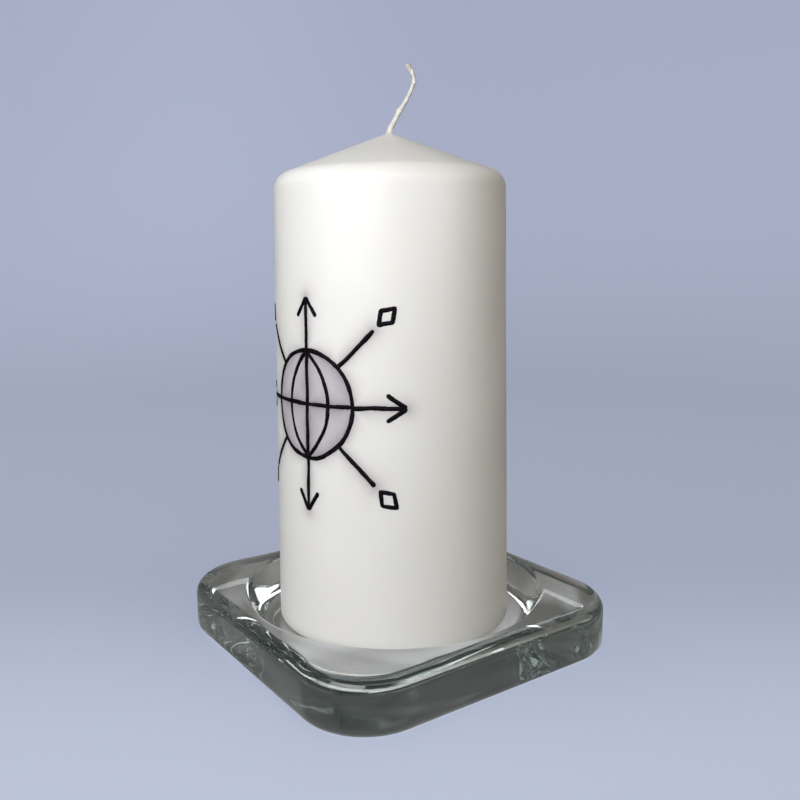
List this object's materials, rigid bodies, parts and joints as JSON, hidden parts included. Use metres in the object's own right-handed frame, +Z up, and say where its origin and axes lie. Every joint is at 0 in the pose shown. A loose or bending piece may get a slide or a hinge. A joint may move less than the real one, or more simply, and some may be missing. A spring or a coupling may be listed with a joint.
{
  "type": "unity candle",
  "caption": "White pillar candle with a cone top, a curved wick and a drawn compass wheel, standing in a square clear-glass plate with a round well.",
  "frame": {"origin": "middle of the glass plate's underside", "axes": "+Z up the candle, X and Y along the plate's sides, the drawing faces about -Y"},
  "size_m": [0.1014, 0.1014, 0.1751],
  "materials": {
    "clear_glass": "clear pressed glass, fire polished, grey-green in its thick edges",
    "white_wax": "smooth white wax, satin, slightly translucent",
    "core_wax": "pressed granulated wax, matt",
    "waxed_cotton": "braided cotton, stiff with wax",
    "black_liner": "black wax paint drawn in raised strokes, low gloss"
  },
  "bodies": {
    "plate": {"glass_plate": "clear_glass"},
    "candle": {"wax_core": "core_wax", "wax_overdip": "white_wax", "wick": "waxed_cotton", "wick_hole_plug": "core_wax", "drawn_ring": "black_liner", "drawn_grid": "black_liner", "drawn_arrow_right": "black_liner", "drawn_arrow_up": "black_liner", "drawn_arrow_left": "black_liner", "drawn_arrow_down": "black_liner", "drawn_ray_up_right": "black_liner", "drawn_ray_up_left": "black_liner", "drawn_ray_down_left": "black_liner", "drawn_ray_down_right": "black_liner", "drawn_diamond_up_right": "black_liner", "drawn_diamond_up_left": "black_liner", "drawn_diamond_down_left": "black_liner", "drawn_diamond_down_right": "black_liner"}
  },
  "joints": [
    {"name": "candle_lift", "type": "slide", "parent": "plate", "child": "candle", "axis": [0, 0, 1], "range_m": [0, 0.03]}
  ]
}
